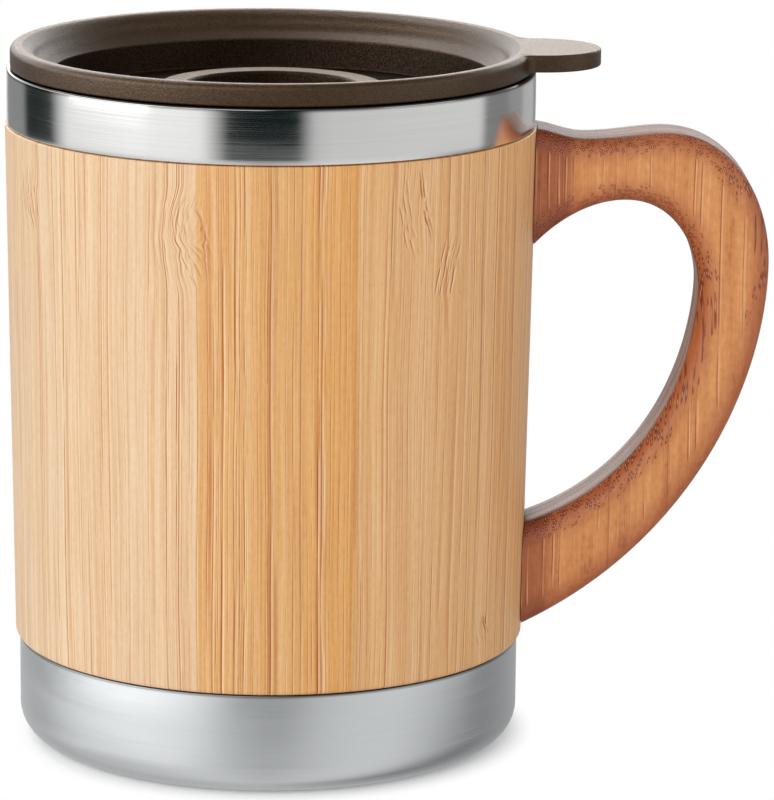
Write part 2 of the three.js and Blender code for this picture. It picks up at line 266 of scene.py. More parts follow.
def make_base(material):
    """A pressed cup. Its outline goes out under the floor, up the wall, in over the shoulder, up the neck,
    and back along the inside at the sheet's thickness."""
    wall = BASE_RADIUS
    top = SLEEVE_BOTTOM - HAIRLINE
    neck = SHELL_MIDDLE - SHEET / 2 - SEAT_GAP
    profile = rounded([
        (0, 0),
        (wall, 0, BASE_CORNER),
        (wall, top, PRESSED_CORNER),
        (neck, top, SHOULDER_BEND),
        (neck, base_high.z),
        (neck - SHEET, base_high.z),
        (neck - SHEET, top - SHEET, SHOULDER_BEND + SHEET),
        (wall - SHEET, top - SHEET, PRESSED_CORNER),
        (wall - SHEET, SHEET, BASE_CORNER - SHEET),
        (0, SHEET),
    ])
    add_piece("steel_base", *turned(profile), material, "mug", "base_cup", "base_steel")


def make_shell(material):
    """The outer wall. Its outline goes up the wall, out over the sleeve, up the collar, over the rolled rim
    and down its hem, and back along the inside at the sheet's thickness. The collar swells by a hair."""
    wall = SHELL_MIDDLE + SHEET / 2
    low = SLEEVE_TOP + HAIRLINE
    collar = COLLAR_RADIUS
    hem = collar - HEM_INSET
    profile = rounded([
        (wall, shell_low.z),
        (wall, low, SHOULDER_BEND),
        (collar, low, PRESSED_CORNER),
        *[(collar, z) for z in np.linspace(low + 3 * RIM_ROLL, RIM_TOP - 3 * RIM_ROLL, COLLAR_ROWS)],
        (collar, RIM_TOP, RIM_ROLL),
        (hem - SHEET, RIM_TOP, RIM_ROLL),
        (hem - SHEET, RIM_TOP - HEM_DEPTH),
        (hem, RIM_TOP - HEM_DEPTH),
        (hem, RIM_TOP - SHEET, HAIRLINE),
        (collar - SHEET, RIM_TOP - SHEET, HAIRLINE),
        (collar - SHEET, low + SHEET, PRESSED_CORNER),
        (wall - SHEET, low + SHEET, SHOULDER_BEND + SHEET),
        (wall - SHEET, shell_low.z),
    ])
    middle, half = (low + RIM_TOP) / 2, (RIM_TOP - low) / 2
    on_collar = profile[:, 0] > collar - 1.5 * SHEET
    fall = np.clip((profile[:, 1] - middle) / half, -1, 1) ** 2
    profile[:, 0] -= np.where(on_collar, COLLAR_BARREL * fall, 0)
    add_piece("steel_shell", *turned(profile), material, "mug", "outer_shell", "collar_steel")


def make_liner(material):
    """The inner cup. The sheet's middle line goes out along the floor, up the wall, out over a sloping step
    and up the wider mouth."""
    mouth = COLLAR_RADIUS - SHEET / 2 - HEM_INSET - SHEET - SEAT_GAP
    profile = sheet([
        (0, liner_low.z + SHEET / 2),
        (LINER_MIDDLE, liner_low.z + SHEET / 2, LINER_CORNER),
        (LINER_MIDDLE, LINER_STEP[0], LINER_STEP_BEND),
        (mouth, LINER_STEP[1], LINER_STEP_BEND),
        (mouth, liner_high.z),
    ])
    add_piece("steel_liner", *turned(profile), material, "mug", "inner_liner", "liner_steel")


# Bamboo


def make_sleeve(material):
    """The sleeve is a turned tube with a slight taper. Its UV map unrolls it: metres round the mug, counted
    from the front, and metres up."""
    bore = SLEEVE_TOP_RADIUS - SLEEVE_WALL
    profile = rounded([
        (bore, SLEEVE_BOTTOM),
        (SLEEVE_TOP_RADIUS - SLEEVE_TAPER, SLEEVE_BOTTOM, SLEEVE_BOTTOM_ROUND),
        (SLEEVE_TOP_RADIUS, SLEEVE_TOP, SLEEVE_TOP_ROUND),
        (bore, SLEEVE_TOP),
    ])
    points, faces = turned(profile)
    piece = add_piece("bamboo_tube", points, faces, material, "mug", "bamboo_sleeve", "sleeve_bamboo")
    corners = np.array(faces).ravel()
    turn = np.arctan2(points[corners, 0], -points[corners, 1]).reshape(-1, 4)
    turn = np.where(np.ptp(turn, axis=1, keepdims=True) > np.pi, turn % (2 * np.pi), turn)
    unrolled = np.stack([turn.ravel() * SLEEVE_TOP_RADIUS, points[corners, 2]], axis=1)
    piece.data.uv_layers.new(name="unrolled").data.foreach_set("uv", unrolled.ravel())


def bezier(start, first, second, end, steps):
    """Points on a cubic curve from start to end, without the end point."""
    t = np.arange(steps)[:, None] / steps
    return (1 - t) ** 3 * start + 3 * t * (1 - t) ** 2 * first + 3 * t**2 * (1 - t) * second + t**3 * end


def heading(degrees):
    """One unit along a heading, counted from level outwards to plumb upwards."""
    return np.array([math.cos(math.radians(degrees)), math.sin(math.radians(degrees))])


# Where the curves of the handle's edges meet, from its head to its foot, in millimetres: how far out from the
# sleeve and how high, the edge's heading there in degrees, and how far it holds that before and after
HEAD_HEIGHT = SLEEVE_TOP / MM
FOOT_HEIGHT = SLEEVE_BOTTOM / MM
HANDLE_REACH = (handle_high.x - SLEEVE_TOP_RADIUS) / MM
GRIP_WIDTH = 11.1
OUTER_EDGE = (
    (0, HEAD_HEIGHT - 0.2, -7.5, 0, 3),
    (7.7, HEAD_HEIGHT - 1.72, 0, 3, 4.5),
    (20, HEAD_HEIGHT - 0.68, 0, 4, 11.7),
    (HANDLE_REACH, HEAD_HEIGHT - 21.65, -90, 9.7, 19.7),
    (0, FOOT_HEIGHT + 2.55, 207.5, 28.7, 0),
)
INNER_EDGE = (
    (0, HEAD_HEIGHT - 18.3, 45.8, 0, 5.6),
    (14.1, HEAD_HEIGHT - 11.43, 0, 5.1, 9),
    (HANDLE_REACH - GRIP_WIDTH, HEAD_HEIGHT - 25.35, -90, 4.4, 5),
    (0, FOOT_HEIGHT + 18.85, 201.2, 25.4, 0),
)
# How many steps each curve has. Points with the same index lie across the handle from each other.
OUTER_SPANS = (22, 22, 60, 84)
INNER_SPANS = (44, 60, 84)
# How far both edges run on into the sleeve
WASTE = 6 * MM
WASTE_STEPS = 12


def handle_edge(marks, spans):
    """One edge of the handle as an (x, z) line from its head to its foot: cubic curves from mark to mark,
    each leaving and reaching its marks in their headings, and a straight run into the sleeve at both ends."""
    places = [np.array([SLEEVE_TOP_RADIUS + out * MM, height * MM]) for out, height, _, _, _ in marks]
    ways = [heading(degrees) for _, _, degrees, _, _ in marks]
    reached = [place - before * MM * way for place, way, (_, _, _, before, _) in zip(places, ways, marks)]
    left = [place + after * MM * way for place, way, (_, _, _, _, after) in zip(places, ways, marks)]
    run = WASTE * np.linspace(1, 0, WASTE_STEPS, endpoint=False)[:, None]
    line = [places[0] - ways[0] * run]
    for i, steps in enumerate(spans):
        line.append(bezier(places[i], left[i], reached[i + 1], places[i + 1], steps))
    line.append((places[-1] + ways[-1] * run)[::-1])
    return np.concatenate(line)


def cut_back(edge, inset, depth, stations):
    """A line moved to its right by inset, at that depth in the board, and cut off where it meets the round of
    the sleeve, as that many points."""
    along = np.gradient(edge, axis=0)
    along /= np.linalg.norm(along, axis=1)[:, None]
    line = edge + inset * np.stack([along[:, 1], -along[:, 0]], axis=1)
    slope = SLEEVE_TAPER / (SLEEVE_TOP - SLEEVE_BOTTOM)
    round_radius = SLEEVE_TOP_RADIUS + HAIRLINE + (line[:, 1] - SLEEVE_TOP) * slope
    clear = line[:, 0] - np.sqrt(round_radius**2 - depth**2)
    index = np.arange(len(line))
    outside = np.flatnonzero(clear > 0)
    first, last = outside[0], outside[-1]
    start = first - clear[first] / (clear[first] - clear[first - 1])
    stop = last + clear[last] / (clear[last] - clear[last + 1])
    places = np.linspace(start, stop, stations)
    return np.stack([np.interp(places, index, line[:, 0]), np.interp(places, index, line[:, 1])], axis=1)


def make_handle(material):
    """The handle is a board sawn to an outline. Its section, carried from head to foot, is a flat strip on
    each edge, a flat face on each side and, between them, arcs that are tangent to the faces. Its ends are
    hollowed to fit the sleeve."""
    stations = sum(INNER_SPANS) + 1
    strip = BOARD_HALF - ROUND_OVER_DEPTH
    sweep = 2 * math.atan(ROUND_OVER_DEPTH / ROUND_OVER_WIDTH)
    radius = ROUND_OVER_WIDTH / math.sin(sweep)
    turn = np.linspace(sweep, 0, ARC_STEPS + 1)
    arc_inset = ROUND_OVER_WIDTH - radius * np.sin(turn)
    arc_height = BOARD_HALF - radius * (1 - np.cos(turn))
    strip_rows = np.linspace(-strip, strip, STRIP_ROWS + 2)[1:-1]
    face_rows = np.linspace(0, 1, FACE_ROWS + 2)[1:-1]
    outer_edge = handle_edge(OUTER_EDGE, OUTER_SPANS)
    inner_edge = handle_edge(INNER_EDGE, INNER_SPANS)
    arcs = list(zip(arc_inset, arc_height))
    outer = np.stack([cut_back(outer_edge, inset, height, stations) for inset, height in arcs])
    inner = np.stack([cut_back(inner_edge, -inset, height, stations) for inset, height in arcs])
    outer_strip = np.stack([cut_back(outer_edge, 0, height, stations) for height in strip_rows])
    inner_strip = np.stack([cut_back(inner_edge, 0, height, stations) for height in strip_rows])
    face = outer[-1] + (inner[-1] - outer[-1]) * face_rows[:, None, None]
    flat = np.full(len(face_rows), BOARD_HALF)
    section = [
        (outer_strip, strip_rows),
        (outer, arc_height),
        (face, flat),
        (inner[::-1], arc_height[::-1]),
        (inner_strip, -strip_rows),
        (inner, -arc_height),
        (face[::-1], -flat),
        (outer[::-1], -arc_height[::-1]),
    ]
    width = np.linalg.norm(inner[-1] - outer[-1], axis=1)
    nearer = np.minimum(face_rows, 1 - face_rows)[:, None] * width + ROUND_OVER_WIDTH
    arc_rows = np.repeat(arc_inset[:, None], stations, axis=1)
    strip_zero = np.zeros((len(strip_rows), stations))
    side = [strip_zero, arc_rows, nearer, arc_rows[::-1]]
    from_edge = np.concatenate(side + side)
    across = np.concatenate([rows for rows, _ in section])
    depth = np.concatenate([heights for _, heights in section])
    depth = np.broadcast_to(depth[:, None], across.shape[:2])
    points = np.stack([across[..., 0], depth, across[..., 1]], axis=-1)
    rows = len(across)
    faces = grid_faces(rows, stations, True, False).tolist()
    head = np.arange(rows) * stations
    faces += [head.tolist(), (head + stations - 1)[::-1].tolist()]
    piece = add_piece(
        "bamboo_handle", points.reshape(-1, 3), faces, material, "mug", "handle", "handle_bamboo"
    )
    piece.data.attributes.new("from_edge", "FLOAT", "POINT").data.foreach_set("value", from_edge.ravel())


# Lid


def lid_outline():
    """The lid seen from above: the flange's circle with the thumb tab, as polar radius and angle, and how far
    each point is on the tab, from 0 on the flange to 1."""
    fillet_y = TAB_RADIUS + TAB_FILLET
    fillet_x = math.sqrt((FLANGE_RADIUS + TAB_FILLET) ** 2 - fillet_y**2)
    end_x = fillet_x + TAB_STRAIGHT
    swing = math.atan2(fillet_y, fillet_x)
    turn = np.linspace(0, np.pi / 2, TAB_END_STEPS, endpoint=False)
    end = np.stack([end_x + TAB_RADIUS * np.cos(turn), TAB_RADIUS * np.sin(turn)], axis=1)
    side_x = np.linspace(end_x, fillet_x, TAB_SIDE_STEPS, endpoint=False)
    side = np.stack([side_x, np.full(TAB_SIDE_STEPS, TAB_RADIUS)], axis=1)
    bend = np.linspace(-np.pi / 2, swing - np.pi, TAB_FILLET_STEPS, endpoint=False)
    fillet = np.stack([fillet_x + TAB_FILLET * np.cos(bend), fillet_y + TAB_FILLET * np.sin(bend)], axis=1)
    ease = np.linspace(1, 0, len(fillet), endpoint=False)
    around = np.linspace(swing, 2 * np.pi - swing, FLANGE_STEPS, endpoint=False)
    circle = FLANGE_RADIUS * np.stack([np.cos(around), np.sin(around)], axis=1)
    quarter = np.concatenate([end, side, fillet])
    share = np.concatenate([np.ones(len(end) + len(side)), ease * ease * (3 - 2 * ease)])
    mirrored = quarter[:0:-1] * [1, -1]
    first_of_mirror = np.array([circle[0] * [1, -1]])
    outline = np.concatenate([quarter, circle, first_of_mirror, mirrored])
    share = np.concatenate([share, np.zeros(len(circle) + 1), share[:0:-1]])
    angle = np.unwrap(np.arctan2(outline[:, 1], outline[:, 0]))
    return np.linalg.norm(outline, axis=1), angle, share


def lid_section(roll, edge_round, top, low, low_edge):
    """The lid's section from the middle of its well, out over the lip, and back under to the axis. What is
    on the lip's outside moves out to the tab's edge: its rows are marked with how far they go along. A
    top that lies below the lip is reached in the first part of the crown, TAB_SINK of it."""
    lip_inner = FLANGE_RADIUS - LIP_WIDTH
    lip_tangent = roll * math.tan(math.atan2(FUNNEL_DEPTH, FUNNEL_WIDTH) / 2)
    funnel = (lip_inner - FUNNEL_WIDTH, LID_TOP - FUNNEL_DEPTH)
    well = funnel[0] - LEDGE_WIDTH
    floor = lid_low.z + WELL_FLOOR
    ring_top = floor + RING_HEIGHT
    ring_inner = RING_RADIUS - RING_WIDTH
    spigot = COLLAR_RADIUS - SHEET / 2 - HEM_INSET - 1.5 * SHEET - 2 * SEAT_GAP
    groove_top = RIM_TOP + SEAT_GAP - SPIGOT_DEPTH
    groove_low = seal_low.z - SEAT_GAP
    inside = rounded([
        (0, floor),
        (ring_inner, floor, RING_FOOT),
        (ring_inner, ring_top, RING_ROUND),
        (RING_RADIUS, ring_top, RING_ROUND),
        (RING_RADIUS, floor, RING_FOOT),
        (well, floor, WELL_CORNER),
        (well, funnel[1] - LEDGE_FALL, WELL_EDGE_ROUND),
        (*funnel, FUNNEL_ROUND),
        (lip_inner, LID_TOP, roll),
        (FLANGE_RADIUS - LIP_EDGE, LID_TOP),
    ])[:-1]
    steps = np.linspace(0, 1, CROWN_ROWS + 2)[1:-1, None]
    crown = np.array([lip_inner + lip_tangent, LID_TOP])
    brim = np.array([FLANGE_RADIUS - edge_round, top])
    bridge = np.concatenate([crown[:1] + (brim[:1] - crown[:1]) * steps, top + 0 * steps], axis=1)
    bridge[:, 1] += (LID_TOP - top) * (1 - np.minimum(1, steps[:, 0] / TAB_SINK)) ** 2
    outside = rounded([
        tuple(bridge[-1]),
        (FLANGE_RADIUS, top, edge_round),
        (FLANGE_RADIUS, low, FLANGE_LOWER_ROUND),
        (FLANGE_RADIUS - 2 * FLANGE_LOWER_ROUND, low),
    ])[1:-1]
    under = rounded([
        (low_edge, low),
        (low_edge - UNDER_STEP, FLANGE_LOW),
        (spigot, FLANGE_LOW),
        (spigot, groove_top),
        (GROOVE_RADIUS, groove_top),
        (GROOVE_RADIUS, groove_low),
        (PLUG_RADIUS, groove_low),
        (PLUG_RADIUS, lid_low.z, PLUG_ROUND),
        (0, lid_low.z),
    ])
    section = np.concatenate([inside, bridge, outside, under])
    moves = np.concatenate([np.zeros(len(inside)), steps[:, 0], np.ones(len(outside)), np.zeros(len(under))])
    return section, moves


def make_lid(material):
    """The lid's section goes round the axis, and its outer rows follow the lid's outline, so that the lip's
    crown runs out over the thumb tab."""
    edge, angle, share = lid_outline()
    hidden_edge = FLANGE_RADIUS - FLANGE_LOWER_ROUND - UNDER_STEP
    plain, moves = lid_section(LIP_ROLL, LIP_EDGE, LID_TOP, FLANGE_LOW, hidden_edge)
    tab_top = LID_TOP - TAB_DROP
    tab, _ = lid_section(TAB_ROLL, TAB_EDGE, tab_top, tab_top - TAB_THICKNESS, FLANGE_RADIUS)
    mixed = plain[:, None] + (tab - plain)[:, None] * share[None, :, None]
    radius = mixed[..., 0] + moves[:, None] * (edge - FLANGE_RADIUS)[None]
    points, faces = polar_piece(radius, mixed[..., 1], angle)
    faces = [corners[::-1] for corners in faces]
    add_piece("lid_moulding", points, faces, material, "lid", "lid_body", "lid_plastic")


def make_seal(material):
    """The seal is a turned band with two thin lips."""
    inner, tip = GROOVE_RADIUS + SEAT_GAP, seal_high.x
    band = inner + SEAL_BAND
    low, top = seal_low.z, seal_high.z
    quarter = (top - low) / 4
    slope = SEAL_LIP_SLOPE * quarter
    profile = rounded([
        (inner, low),
        (band, low),
        (tip, low + slope, SEAL_LIP_ROUND),
        (tip, low + quarter, SEAL_LIP_ROUND),
        (band, low + quarter + slope, SEAL_LIP_ROUND),
        (band, top - quarter - slope, SEAL_LIP_ROUND),
        (tip, top - quarter, SEAL_LIP_ROUND),
        (tip, top - slope, SEAL_LIP_ROUND),
        (band, top),
        (inner, top),
    ])
    add_piece("seal_ring", *turned(profile), material, "lid_seal", "lid_seal", "seal_silicone")


# Finishes


def screen_colour(red, green, blue):
    """A colour as screen values from 0 to 255, turned into the linear values that a shader takes."""
    screen = np.array([red, green, blue]) / 255
    linear = np.where(screen < 0.04045, screen / 12.92, ((screen + 0.055) / 1.055) ** 2.4)
    return (*linear.tolist(), 1.0)


class Nodes:
    """The node tree of a finish. Each method adds what it names and gives back its output."""

    def __init__(self, tree):
        self.tree = tree

    def add(self, kind, inputs, output=0, **settings):
        node = self.tree.nodes.new("ShaderNode" + kind)
        for name, value in settings.items():
            setattr(node, name, value)
        for place, value in inputs.items():
            self.join(value, node.inputs[place])
        return node.outputs[output]

    def join(self, value, socket):
        if isinstance(value, bpy.types.NodeSocket):
            self.tree.links.new(value, socket)
        else:
            socket.default_value = value

    def calc(self, operation, first, second=0.0):
        return self.add("Math", {0: first, 1: second}, operation=operation)

    def times(self, first, second):
        return self.calc("MULTIPLY", first, second)

    def plus(self, first, second):
        return self.calc("ADD", first, second)

    def minus(self, first, second):
        return self.calc("SUBTRACT", first, second)

    def weighed(self, *parts):
        """The sum of values, each times its share."""
        total = 0.0
        for value, share in parts:
            total = self.plus(total, self.times(value, share))
        return total

    def spread(self, value, low, high, to_low=0.0, to_high=1.0):
        """Eases from to_low to to_high while the value goes from low to high."""
        ends = {"Value": value, "From Min": low, "From Max": high, "To Min": to_low, "To Max": to_high}
        return self.add("MapRange", ends, interpolation_type="SMOOTHSTEP")

    def blend(self, share, first, second, way="MIX"):
        return self.add("Mix", {0: share, 6: first, 7: second}, 2, data_type="RGBA", blend_type=way)

    def shaded(self, share, first, second):
        return self.blend(share, first, second, "MULTIPLY")

    def ramp(self, value, stops, between="LINEAR"):
        node = self.tree.nodes.new("ShaderNodeValToRGB")
        node.color_ramp.interpolation = between
        elements = node.color_ramp.elements
        while len(elements) < len(stops):
            elements.new(1.0)
        for element, (place, colour) in zip(elements, stops):
            element.position = place
            element.color = colour
        self.join(value, node.inputs[0])
        return node.outputs[0]

    def tones(self, value, tones):
        """Runs through colours, each given with its place on the value's scale."""
        return self.ramp(value, [(place, screen_colour(*colour)) for place, *colour in tones])

    def stretched(self, vector, scale, shift=(0, 0, 0)):
        return self.add("Mapping", {"Vector": vector, "Scale": scale, "Location": shift})

    def noise(self, vector, scale, detail=2.0, roughness=0.5, shift=(0, 0, 0)):
        """Noise that changes as fast along each axis as the scale says."""
        placed = self.stretched(vector, scale, shift)
        inputs = {"Vector": placed, "Scale": 1.0, "Detail": detail, "Roughness": roughness}
        return self.add("TexNoise", inputs)

    def split(self, vector):
        node = self.tree.nodes.new("ShaderNodeSeparateXYZ")
        self.join(vector, node.inputs[0])
        return node.outputs[:3]

    def gather(self, x, y, z):
        return self.add("CombineXYZ", {"X": x, "Y": y, "Z": z})

    def bump(self, height, depth, strength=1.0):
        inputs = {"Height": height, "Distance": depth, "Strength": strength}
        return self.add("Bump", inputs, "Normal")

    def millimetres(self, vector):
        return self.add("VectorMath", {0: vector, "Scale": 1 / MM}, operation="SCALE")

    def object_place(self):
        """Object coordinates, in millimetres."""
        return self.millimetres(self.add("TexCoord", {}, "Object"))

    def object_normal(self):
        return self.add("TexCoord", {}, "Normal")


def new_finish(name, **sockets):
    """A material with a node tree. The sockets are those of its shader that are the same all over."""
    material = bpy.data.materials.new(name)
    material.use_nodes = True
    finish = Nodes(material.node_tree)
    shader = material.node_tree.nodes["Principled BSDF"]
    for socket, value in sockets.items():
        shader.inputs[socket.replace("_", " ")].default_value = value
    return material, finish, shader.inputs


# Tones of a grain, from dark to pale: where each lies on the grain's scale, and its colour on the screen
GOLDEN_TONES = ((0.36, 207, 138, 70), (0.45, 221, 159, 88), (0.54, 230, 173, 104), (0.65, 239, 191, 132))
# The cream tones are partly the paler strips' own colour and partly a painted sheen
CREAM_AND_SHEEN_TONES = ((0.36, 218, 177, 133), (0.45, 227, 192, 153), (0.54, 234, 205, 170), (0.65, 241, 218, 189))
BOARD_TONES = ((0.36, 193, 117, 63), (0.45, 213, 140, 80), (0.55, 224, 152, 91), (0.66, 236, 174, 115))
SAWN_TONES = ((0.40, 78, 48, 34), (0.50, 130, 86, 62), (0.60, 168, 122, 96))
PLASTIC_TONES = ((0.35, 39, 25, 12), (0.65, 60, 42, 25))

# Single colours
AMBER = screen_colour(200, 130, 30)
CREAM = screen_colour(250, 223, 180)
RUSSET = screen_colour(198, 124, 76)
HONEY = screen_colour(242, 196, 148)
END_SHADE = screen_colour(196, 158, 156)
EDGE_SHADE = screen_colour(194, 142, 116)
BUNDLE_SHADE = screen_colour(164, 92, 54)
BRIGHT = screen_colour(240, 240, 238)
SATIN = screen_colour(228, 230, 231)
SOFT_GREY = screen_colour(222, 222, 220)
DULL_GREY = screen_colour(205, 205, 203)
STREAK_GREY = screen_colour(120, 120, 118)
PAINTED_SEAM_SHADE = screen_colour(30, 30, 30)
PAINTED_WELL_SHADE = screen_colour(150, 130, 110)
PAINTED_SHEEN_BROWN = screen_colour(146, 123, 99)
WARM_SHEEN = screen_colour(255, 224, 196)
MILKY = screen_colour(196, 194, 188)
MILKY_PALE = screen_colour(214, 212, 206)


def fibre_lines(finish, across, up, spacing, width, length):
    """Dark lines at random places, about one in each spacing, with a pale line beside each. A line has its
    own strength, and fades in and out along its length."""
    cell = {"W": across, "Scale": 1 / spacing}
    middle = finish.add("TexVoronoi", cell, "W", voronoi_dimensions="1D")
    tone = finish.split(finish.add("TexVoronoi", cell, "Color", voronoi_dimensions="1D"))[1]
    along = finish.gather(middle, up, 0.0)
    lasting = finish.spread(finish.noise(along, (3.1, 1 / length, 1)), 0.38, 0.54)
    strength = finish.times(finish.spread(tone, 0.0, 0.75), lasting)
    side = finish.minus(across, middle)
    dark = finish.spread(finish.calc("ABSOLUTE", side), 0.4 * width, width, 1, 0)
    beside = finish.calc("ABSOLUTE", finish.minus(side, 2 * width))
    pale = finish.spread(beside, 0.5 * width, 1.5 * width, 1, 0)
    return finish.times(dark, strength), finish.times(pale, strength)


def draw_lines(finish, colour, lines, shown, pale_share, pale_colour, dark_colour):
    """Lays fibre lines over a colour: the pale ones first, then the dark ones."""
    dark, pale = lines
    pale = finish.times(finish.times(pale, shown), pale_share)
    colour = finish.blend(pale, colour, pale_colour)
    return finish.shaded(finish.times(dark, shown), colour, dark_colour)


# Knots in the sleeve's strips: degrees round from the front, height in millimetres, how far the knot reaches
# across and up, how far its fibres swerve, how strong its slanting strokes are, and which way they slant
SLEEVE_MARKS = (
    (-18.9, 87.5, 6.0, 9.0, 1.0, 0.5, 1),
    (31.6, 91.2, 4.5, 8.0, 0.25, 1.0, 1),
    (40.5, 81.4, 4.5, 6.5, 0.25, 1.0, -1),
    (-62.8, 90.0, 4.5, 6.0, 0.5, 1.0, 1),
    (73.0, 86.5, 4.5, 5.5, 0.4, 0.9, -1),
    (54.9, 22.6, 2.5, 3.4, 0.5, 1.0, 1),
    (150.0, 84.0, 5.0, 6.0, 0.9, 0.4, 1),
    (-140.0, 30.0, 5.0, 6.0, 0.5, 0.9, -1),
    (-108.0, 62.0, 4.0, 5.0, 0.8, 0.5, 1),
)
# Where each strip of the sleeve starts, in degrees round from the front, and how pale it is: partly the
# strip's own tone, partly a painted sheen on the strips away from the handle
SLEEVE_STRIPS_AND_SHEEN = (
    (-180, 0.5), (-150, 0.3), (-118, 0.7), (-88, 1.0), (-51, 0.85), (-37, 0.92),
    (-27.1, 0.76), (-16.3, 0.15), (6.6, 0.0), (18.2, 0.26), (25.5, 0.34),
    (35.5, 0.30), (47, 0.26), (75, 0.3), (110, 0.4), (145, 0.2),
)
# How far a knot's fibres swerve, in millimetres, and how far its strokes lean for each millimetre up
SWERVE_REACH = 1.6
STROKE_LEAN = 0.24


def light_bamboo():
    """Strips of bamboo side by side, each of its own shade, with those away from the handle paler, partly by
    a painted sheen, and with fibres that run up the mug: soft streaks, fine dark lines with a pale line
    beside them, flecks, and knots where the fibres swerve."""
    material, finish, sockets = new_finish("light_bamboo", Specular_IOR_Level=0.4)
    unrolled = finish.millimetres(finish.add("UVMap", {}, uv_map="unrolled"))
    across, up, _ = finish.split(unrolled)
    radius = SLEEVE_TOP_RADIUS / MM
    swerve, stroke, slant = 0.0, 0.0, 0.0
    for degrees, height, wide, tall, swerving, strength, way in SLEEVE_MARKS:
        middle = math.radians(degrees) * radius
        centred = finish.stretched(unrolled, (1 / wide, 1 / tall, 1), (-middle / wide, -height / tall, 0))
        distance = finish.add("VectorMath", {0: centred}, "Value", operation="LENGTH")
        swerve = finish.calc("MAXIMUM", swerve, finish.spread(distance, 0.1, 1.0, swerving, 0.0))
        stroke = finish.calc("MAXIMUM", stroke, finish.spread(distance, 0.5, 1.0, strength, 0.0))
        marked = finish.calc("LESS_THAN", distance, 1.0)
        slant = finish.plus(slant, finish.times(marked, way * STROKE_LEAN))
    wave = finish.spread(finish.noise(unrolled, (0.10, 0.13, 1)), 0.3, 0.7, 0.2, 1.6)
    wave = finish.times(finish.times(wave, swerve), SWERVE_REACH)
    lean = finish.times(finish.noise(unrolled, (0.05, 0.012, 1)), 2.5)
    bent = finish.plus(finish.plus(across, wave), lean)
    flow = finish.gather(bent, up, 0.0)

    broad = finish.noise(flow, (0.45, 0.006, 1), 3.0, 0.6)
    streak = finish.noise(flow, (2.6, 0.03, 1), 3.0, 0.65, shift=(11, 3, 0))
    mottle = finish.noise(flow, (1.7, 0.6, 1), 4.0, 0.75, shift=(1, 5, 0))
    tone = finish.weighed((broad, 0.40), (streak, 0.40), (mottle, 0.20))
    golden = finish.tones(tone, GOLDEN_TONES)
    cream_and_sheen = finish.tones(tone, CREAM_AND_SHEEN_TONES)
    # Painted sheen, in part: the strips away from the handle are made paler, besides having their own tone
    turn = finish.plus(finish.times(across, 0.5 / (math.pi * radius)), 0.5)
    shades = [((degrees + 180) / 360, (pale, pale, pale, 1)) for degrees, pale in SLEEVE_STRIPS_AND_SHEEN]
    paleness_and_sheen = finish.ramp(turn, shades, "CONSTANT")
    colour = finish.blend(paleness_and_sheen, golden, cream_and_sheen)
    clump = finish.noise(flow, (0.16, 0.008, 1), 1.0, shift=(7, 2, 0))
    clump = finish.spread(clump, 0.36, 0.60, 0.65, 1.2)
    line_share = finish.times(finish.spread(paleness_and_sheen, 0.6, 1.0, 1.0, 0.65), clump)
    leaning = finish.plus(bent, finish.times(up, slant))
    fine_share = finish.times(line_share, 0.75)
    long_share = finish.times(line_share, 0.80)
    stain_share = finish.times(line_share, 0.40)
    for place, shift, spacing, width, length, shown in (
        (bent, 190.0, 2.7, 0.45, 30.0, stain_share),
        (bent, 40.0, 0.65, 0.065, 9.0, fine_share),
        (bent, 20.0, 1.8, 0.10, 18.0, line_share),
        (bent, 70.0, 4.0, 0.14, 40.0, long_share),
        (bent, 110.0, 1.3, 0.19, 6.0, swerve),
        (leaning, 150.0, 1.05, 0.16, 2.6, stroke),
    ):
        lines = fibre_lines(finish, finish.plus(place, shift), up, spacing, width, length)
        colour = draw_lines(finish, colour, lines, shown, 0.55, CREAM, AMBER)
    fleck = finish.spread(finish.noise(flow, (5.5, 0.7, 1)), 0.58, 0.72)
    colour = finish.shaded(finish.times(fleck, 0.15), colour, AMBER)
    grain = finish.noise(flow, (8, 0.3, 1))
    finish.join(colour, sockets["Base Color"])
    finish.join(finish.spread(grain, 0.2, 0.8, 0.38, 0.52), sockets["Roughness"])
    finish.join(finish.bump(grain, 0.02 * MM, 0.4), sockets["Normal"])
    return material


# The handle's board is glued from strips, counted in millimetres out from the mug's axis. The face of its end
# block goes from the lower place to the upper one between two heights.
END_BLOCK_UPPER = 48.0
END_BLOCK_LOWER = 45.4
END_BLOCK_HEIGHTS = (40.0, 60.0)
BOARD_SEAMS = (54.2, 63.5)
# Its fibre bundles: their pitch in millimetres, how far they lean for each millimetre up, the dark ring of
# each as a share of the pitch, and how wide the rounded edge is that shows them
FIBRE_PITCH = 0.60
FIBRE_LEAN = 0.2
BUNDLE_RING = 0.25
CROWN_WIDTH = 4.0
# The middle of its lower arm, in millimetres: how far out it starts, how high, and how it rises from there
ARM_START = 42.0
ARM_HEIGHT = 27.0
ARM_SLOPE = 0.3
ARM_CURVE = 0.029


